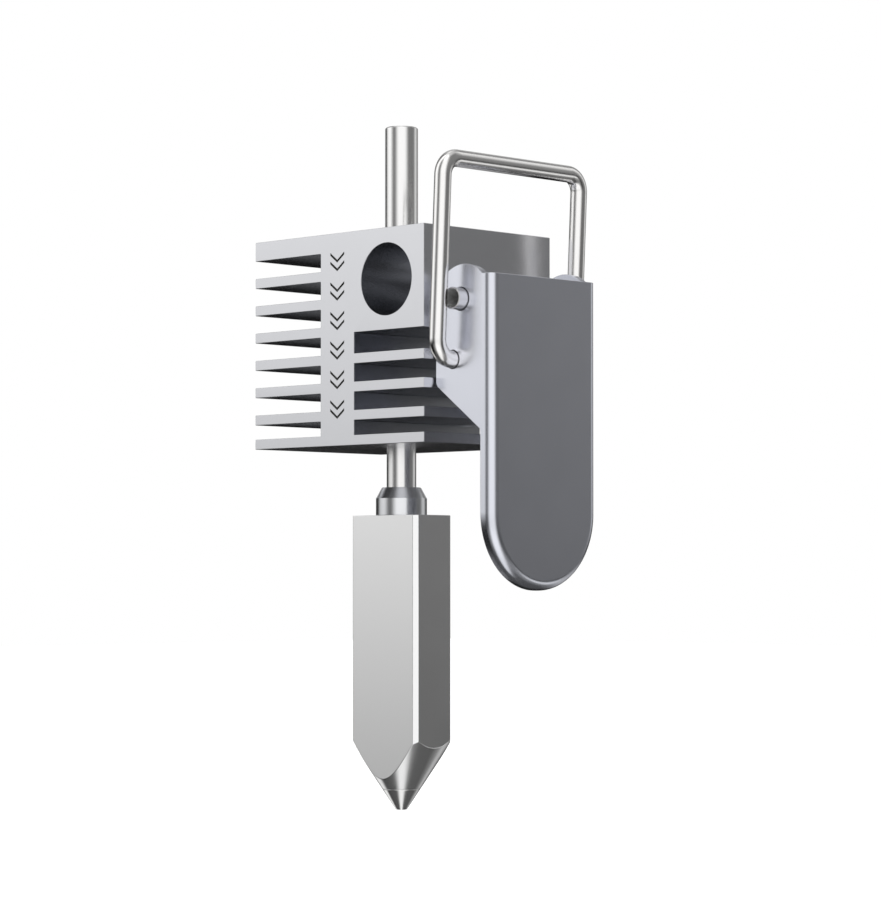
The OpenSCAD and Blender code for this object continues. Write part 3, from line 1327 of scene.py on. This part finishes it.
@dataclass
class WireBail(Assembly):
    """The sprung wire loop that hangs in the lever's ears."""

    body = Body.BAIL
    wire: float = 1.65
    length: float = 19.04
    lean: float = 2.7
    low_bend: float = 1.9
    high_bend: float = 1.7
    foot_end: float = 6.1
    bend_steps: int = 14
    sides: int = 40

    def build(self) -> list[Part]:
        """Bends the wire.

        Returns:
            The bail, on its own.
        """
        _, high = box_mm("bail")
        half = high.x - self.wire / 2
        corners = [
            (self.foot_end, 0, 0), (half, 0, 0), (half, 0, self.length),
            (-half, 0, self.length), (-half, 0, 0), (-self.foot_end, 0, 0),
        ]
        turn = Matrix.Rotation(math.radians(self.lean), 3, "X")
        foot = joint_mm("bail_swing")
        places = [turn @ Vector(c) + Vector((0, *foot.yz)) for c in corners]
        mesh = bpy.data.meshes.new("bail_path")
        mesh.from_pydata([tuple(p) for p in places], [(i, i + 1) for i in range(len(places) - 1)], [])
        bends = mesh.attributes.new("bend_radius", "FLOAT", "POINT")
        bends.data.foreach_set("value", [0, self.low_bend, self.high_bend, self.high_bend, self.low_bend, 0])
        bail = add_object("wire_bail_loop", mesh)
        self.bending().apply(bail)
        return [Part(bail, POLISHED_WIRE, Slot.BAIL, ("bail",))]

    def bending(self) -> GeometryTree:
        """Bends a wire along the path's edges.

        Returns:
            The tree that bends it.
        """
        tree = GeometryTree("bent_wire")
        radius = tree.ask("Wire Radius", "Float", self.wire / 2)
        steps = tree.ask("Bend Steps", "Int", self.bend_steps)
        sides = tree.ask("Wire Sides", "Int", self.sides)
        stored = {"Name": "bend_radius"}
        bends = tree.add("GeometryNodeInputNamedAttribute", stored, data_type="FLOAT").outputs[0]
        path = tree.add("GeometryNodeMeshToCurve", {0: tree.given}).outputs[0]
        fillet = {"Curve": path, "Count": steps, "Radius": bends}
        bent = tree.add("GeometryNodeFilletCurve", fillet, mode="POLY").outputs[0]
        ring = {"Resolution": sides, "Radius": radius}
        circle = tree.add("GeometryNodeCurvePrimitiveCircle", ring).outputs[0]
        sweep = {"Curve": bent, "Profile Curve": circle, "Fill Caps": True}
        wire = tree.add("GeometryNodeCurveToMesh", sweep).outputs[0]
        tree.close(wire, {"Finish": (POLISHED_WIRE, True)})
        return tree


# ---------------------------------------------------------------- the studio


@dataclass(frozen=True)
class SoftBox:
    """A soft panel of light, as the hotend sees it.

    Attributes:
        azimuth: The direction of its middle, in degrees from +X towards +Y.
        half_width: Half of its width, in degrees.
        fade: The width of its soft side edges, in degrees.
        strength: Its brightness.
        low: The height of its lower edge, in degrees above the horizon.
        low_fade: The width of its soft lower edge, in degrees.
        high: The height of its upper edge, in degrees above the horizon.
    """

    azimuth: float
    half_width: float
    fade: float
    strength: float
    low: float = -3.0
    low_fade: float = 14.0
    high: float = 120.0


@dataclass
class Studio:
    """The camera, the pale floor and the soft light.

    Attributes:
        boxes: The soft panels round the hotend.
        below: The brightness where no panel is.
        floor_level: The floor's height, in millimetres.
        floor_half: Half of the floor's side, in millimetres.
        floor_paint: The floor's colour.
        floor_glow: How much light the floor gives itself.
        camera_distance: How far in front of the tube's axis the camera is, in millimetres.
        camera_level: The camera's height, in millimetres.
        aim_offset: How far to the right of the tube's axis it looks, in millimetres.
        lens: Its focal length.
        rise: How far its picture is shifted up, as a share of the width.
        tilt: How far it looks up, in degrees.
    """

    boxes: tuple[SoftBox, ...] = (
        SoftBox(azimuth=130, half_width=24, fade=30, strength=1.045, low=-2, low_fade=24),
        SoftBox(azimuth=227, half_width=36, fade=30, strength=0.90, low=-120),
        SoftBox(azimuth=343, half_width=14, fade=22, strength=0.55, high=60),
        SoftBox(azimuth=45, half_width=30, fade=40, strength=0.45, low=3.5, low_fade=8),
        SoftBox(azimuth=245, half_width=115, fade=40, strength=0.19, low=-4, low_fade=30),
        SoftBox(azimuth=86, half_width=17, fade=20, strength=0.90, low=-40, low_fade=12, high=-12),
        SoftBox(azimuth=320, half_width=16, fade=14, strength=0.75, low=-30, low_fade=6, high=-16),
        SoftBox(azimuth=332, half_width=18, fade=16, strength=0.18, low=26, low_fade=12, high=52),
        SoftBox(azimuth=240, half_width=80, fade=25, strength=0.22, low=-47, low_fade=14, high=-18),
        SoftBox(azimuth=350, half_width=24, fade=20, strength=0.18, low=-42, low_fade=12, high=-20),
        SoftBox(azimuth=360, half_width=22, fade=18, strength=0.36, low=-32, low_fade=8, high=-12),
        SoftBox(azimuth=227, half_width=200, fade=10, strength=0.07, low=-120, high=-45),
        SoftBox(azimuth=227, half_width=200, fade=10, strength=0.40, low=60, low_fade=20),
    )
    below: float = 0.008
    floor_level: float = -100.0
    floor_half: float = 2000.0
    floor_paint: float = 0.9
    floor_glow: float = 0.72
    camera_distance: float = 292.9
    camera_level: float = -33.62
    aim_offset: float = 3.907
    lens: float = 115.2
    rise: float = 0.060
    tilt: float = 1.24

    def build(self) -> None:
        """Builds the whole studio."""
        self.camera()
        self.floor()
        self.light()
        scene = bpy.context.scene
        scene.view_settings.view_transform = "Standard"
        scene.view_settings.look = "None"

    def camera(self) -> None:
        """Places the camera level with the nozzle, half way between the marked side and the latch."""
        data = bpy.data.cameras.new("camera")
        data.lens = self.lens
        data.shift_y = self.rise
        data.clip_start = 0.01
        data.clip_end = 100.0
        camera = add_object("camera", data)
        ahead = Vector((1, 1, 0)).normalized()
        right = Vector((1, -1, 0)).normalized()
        place = right * self.aim_offset - ahead * self.camera_distance + Vector((0, 0, self.camera_level))
        camera.location = place * MM
        tilt = math.radians(self.tilt)
        sight = ahead * math.cos(tilt) + Vector((0, 0, math.sin(tilt)))
        camera.rotation_euler = sight.to_track_quat("-Z", "Y").to_euler()
        bpy.context.scene.camera = camera

    def floor(self) -> None:
        """Lays the pale floor, which the metal doesn't mirror."""
        half, level = self.floor_half * MM, self.floor_level * MM
        corners = [(-half, -half, level), (half, -half, level), (half, half, level), (-half, half, level)]
        mesh = bpy.data.meshes.new("floor")
        mesh.from_pydata(corners, [], [(0, 1, 2, 3)])
        floor = add_object("floor", mesh)
        material = bpy.data.materials.new("pale_floor")
        material.use_nodes = True
        nodes = TreeBuilder(material.node_tree)
        material.node_tree.nodes.clear()
        matt = nodes.add("ShaderNodeBsdfDiffuse", {"Color": (*[self.floor_paint] * 3, 1.0)})
        lift = nodes.add("ShaderNodeEmission", {"Color": WHITE, "Strength": self.floor_glow})
        both = nodes.add("ShaderNodeAddShader", {0: matt.outputs[0], 1: lift.outputs[0]})
        nodes.add("ShaderNodeOutputMaterial", {"Surface": both.outputs[0]})
        mesh.materials.append(material)
        for ray in ("visible_diffuse", "visible_glossy", "visible_transmission", "visible_shadow"):
            setattr(floor, ray, False)

    def light(self) -> None:
        """Surrounds the hotend with soft panels, and the camera with plain white."""
        world = bpy.data.worlds.new("studio")
        world.use_nodes = True
        bpy.context.scene.world = world
        nodes = TreeBuilder(world.node_tree)
        world.node_tree.nodes.clear()
        way = nodes.add("ShaderNodeTexCoord").outputs["Generated"]
        parts = nodes.add("ShaderNodeSeparateXYZ", {0: way}).outputs
        across = nodes.math("SQRT", nodes.math("ADD", nodes.math("MULTIPLY", parts[0], parts[0]),
                                               nodes.math("MULTIPLY", parts[1], parts[1])))
        height = nodes.math("ARCSINE", parts[2])
        total = self.below
        for box in self.boxes:
            facing = math.radians(box.azimuth)
            along = nodes.math("ADD", nodes.math("MULTIPLY", parts[0], math.cos(facing)),
                               nodes.math("MULTIPLY", parts[1], math.sin(facing)))
            away = nodes.math("ARCCOSINE", nodes.math("DIVIDE", along, nodes.math("MAXIMUM", across, TINY)))
            inner = math.radians(box.half_width - box.fade / 2)
            outer = math.radians(box.half_width + box.fade / 2)
            wide = nodes.ramp(away, inner, outer, box.strength, 0.0)
            fade = math.radians(box.low_fade / 2)
            low, high = math.radians(box.low), math.radians(box.high)
            risen = nodes.ramp(height, low - fade, low + fade)
            sunk = nodes.ramp(height, high - fade, high + fade, 1.0, 0.0)
            total = nodes.math("MULTIPLY_ADD", wide, nodes.math("MULTIPLY", risen, sunk), total)
        soft = nodes.add("ShaderNodeBackground", {"Color": WHITE, "Strength": total})
        plain = nodes.add("ShaderNodeBackground", {"Color": WHITE, "Strength": 1.0})
        seen = nodes.add("ShaderNodeLightPath").outputs["Is Camera Ray"]
        chosen = nodes.add("ShaderNodeMixShader", {0: seen, 1: soft.outputs[0], 2: plain.outputs[0]})
        nodes.add("ShaderNodeOutputWorld", {"Surface": chosen.outputs[0]})


def main() -> None:
    """Builds the studio and every sub-assembly."""
    logging.basicConfig(level=logging.INFO, format="%(message)s")
    Studio().build()
    for assembly in (CoolingBlock(), FilamentTube(), Nozzle(), PivotPin(), Lever(), WireBail()):
        assembly.make()


if __name__ == "__main__":
    main()
